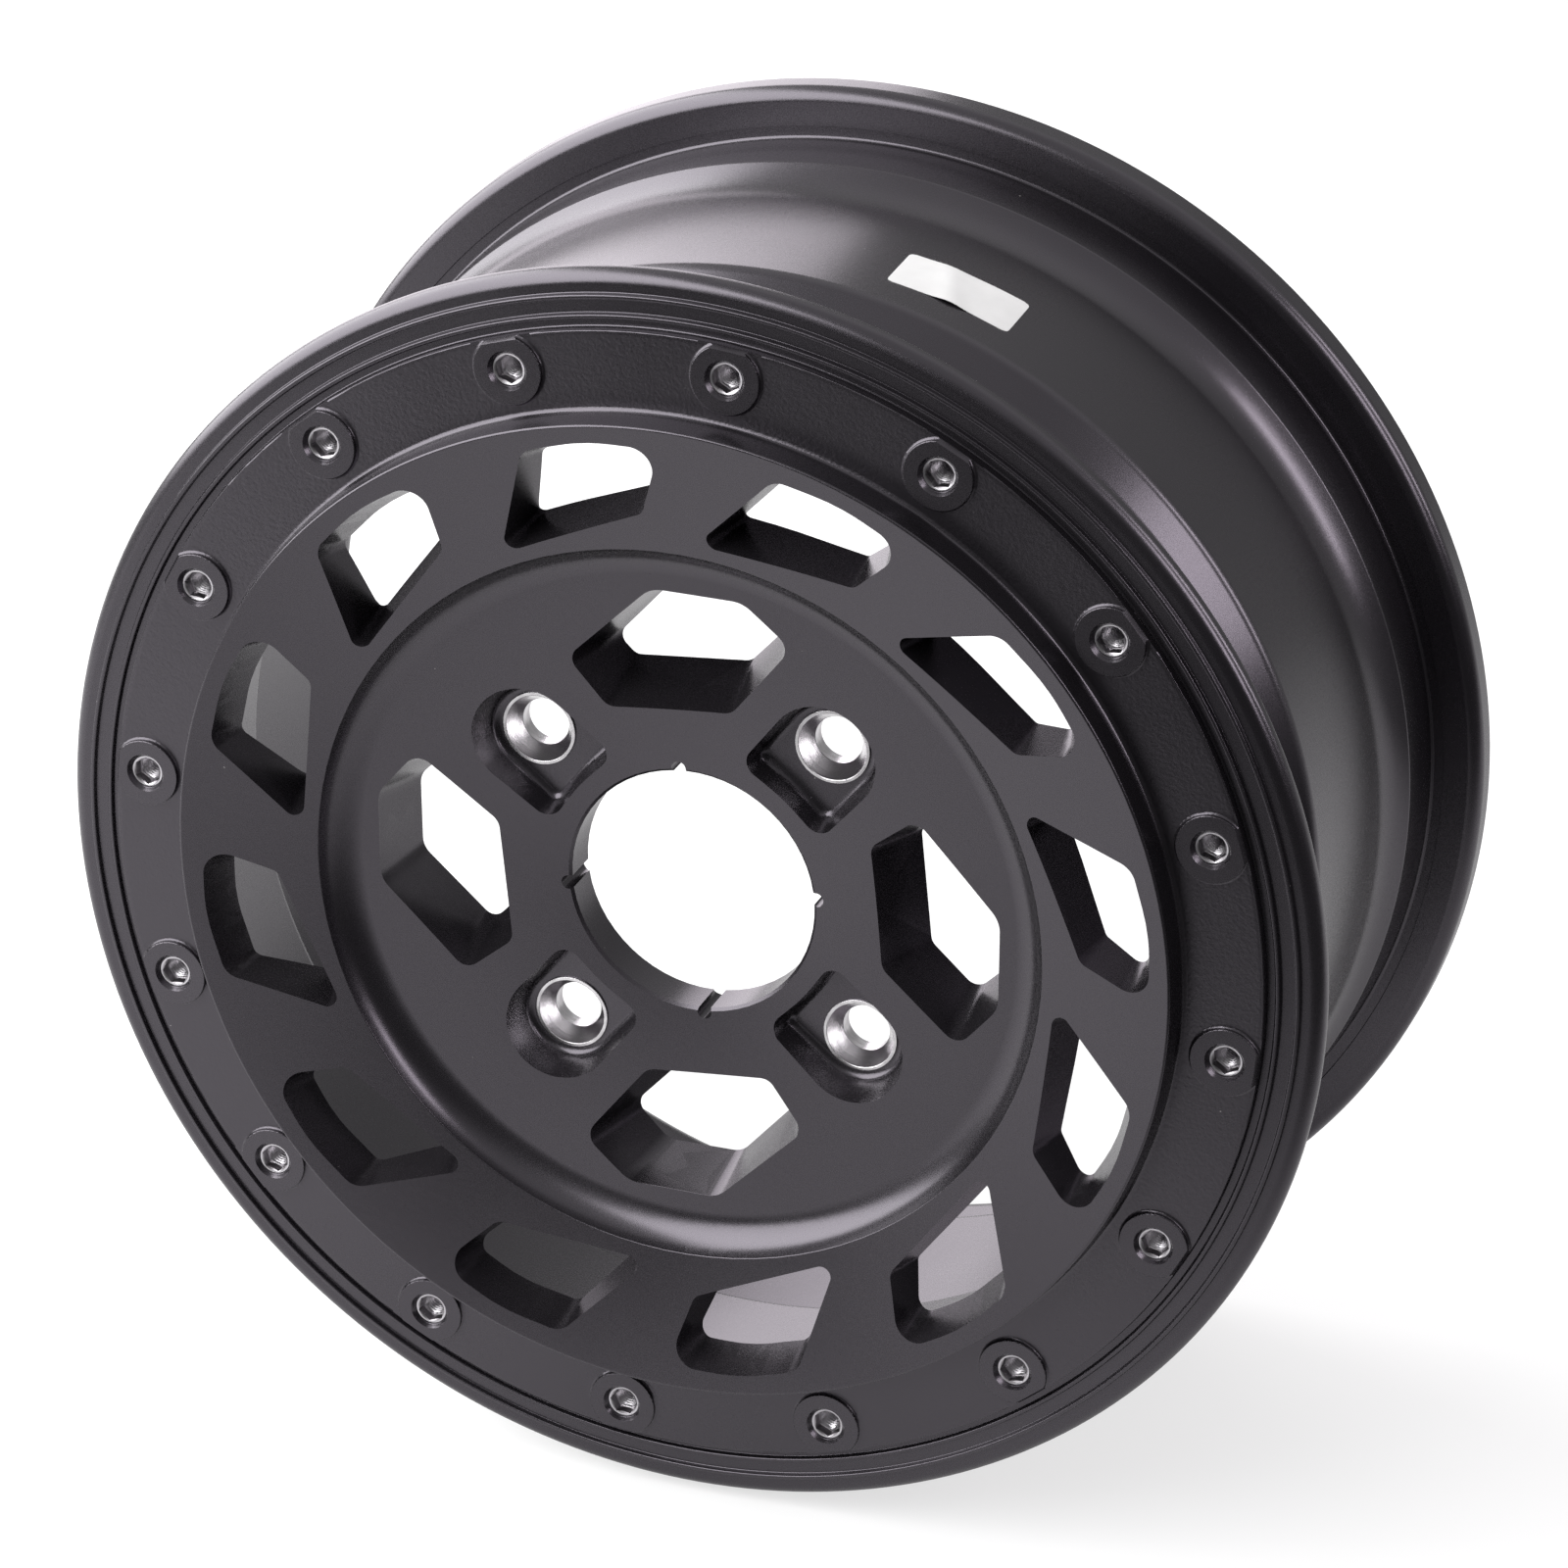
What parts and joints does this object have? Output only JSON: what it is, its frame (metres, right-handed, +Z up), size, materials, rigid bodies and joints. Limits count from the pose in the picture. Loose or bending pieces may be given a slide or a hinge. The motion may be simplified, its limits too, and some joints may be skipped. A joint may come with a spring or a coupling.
{
  "type": "beadlock wheel",
  "caption": "Cast off-road wheel with a dished hub, swept face windows, conical lug seats and a flat bolting band for a bead clamp ring.",
  "frame": {"origin": "centre of the hub's mounting face, on the axle", "axes": "+Y along the axle towards the vehicle, so the front faces -Y, and +Z up"},
  "size_m": [0.4156, 0.1943, 0.4156],
  "materials": {
    "wheel_paint": "satin black paint over cast alloy",
    "insert_steel": "plain steel, darkened",
    "seat_steel": "bright turned steel",
    "label_paper": "blank white"
  },
  "bodies": {
    "root": {"wheel_casting": "wheel_paint", "thread_inserts": "insert_steel", "blank_label": "label_paper", "lug_seat_1": "seat_steel", "lug_seat_2": "seat_steel", "lug_seat_3": "seat_steel", "lug_seat_4": "seat_steel"}
  },
  "joints": []
}
